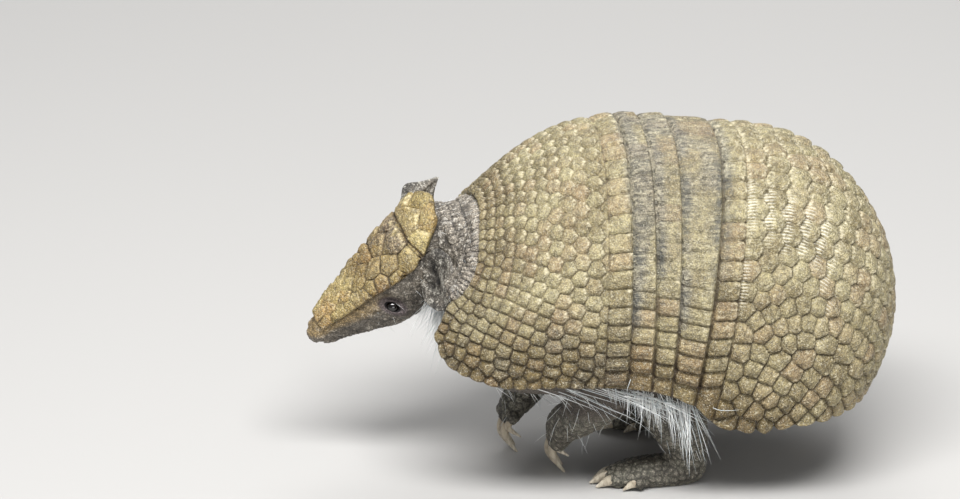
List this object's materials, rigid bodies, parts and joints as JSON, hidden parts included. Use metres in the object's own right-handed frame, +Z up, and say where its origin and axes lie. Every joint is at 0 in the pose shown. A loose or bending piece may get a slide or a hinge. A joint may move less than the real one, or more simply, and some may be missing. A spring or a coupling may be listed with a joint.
{
  "type": "three-banded armadillo model",
  "caption": "Still life-size model of a three-banded armadillo walking with its head lowered, with shields, bands, ears, legs, claws and tail as separate nodes.",
  "frame": {"origin": "on the floor under the middle of the animal's bounding box", "axes": "+Z up, the head points along -X, the animal's left side is -Y"},
  "size_m": [0.2426, 0.1186, 0.1471],
  "materials": {
    "shell": "horny plates of tan to ochre with pebbled crowns and dark grooves, satin",
    "head_shield": "golden ochre horny plates with dark grooves, satin",
    "flesh": "dark grey-brown wrinkled skin with small pale scales and coarse pale hairs",
    "ear": "dark blue-grey granular skin",
    "tail_scutes": "brown horny tubercles with dark grooves",
    "eye": "near-black, wet gloss",
    "claw": "greyish horn, smooth, lightly worn"
  },
  "bodies": {
    "root": {"trunk": "flesh", "neck": "flesh", "head": "flesh", "head_shield": "head_shield", "scapular_shield": "shell", "band_1": "shell", "band_2": "shell", "band_3": "shell", "pelvic_shield": "shell", "tail": "tail_scutes", "eye_left": "eye", "ear_left": "ear", "foreleg_left": "flesh", "hindleg_left": "flesh", "foreclaw_left_1": "claw", "hindclaw_left_1": "claw", "foreclaw_left_2": "claw", "hindclaw_left_2": "claw", "foreclaw_left_3": "claw", "hindclaw_left_3": "claw", "foreclaw_left_4": "claw", "hindclaw_left_4": "claw", "foreclaw_left_5": "claw", "hindclaw_left_5": "claw", "eye_right": "eye", "ear_right": "ear", "foreleg_right": "flesh", "hindleg_right": "flesh", "foreclaw_right_1": "claw", "hindclaw_right_1": "claw", "foreclaw_right_2": "claw", "hindclaw_right_2": "claw", "foreclaw_right_3": "claw", "hindclaw_right_3": "claw", "foreclaw_right_4": "claw", "hindclaw_right_4": "claw", "foreclaw_right_5": "claw", "hindclaw_right_5": "claw"}
  },
  "joints": []
}
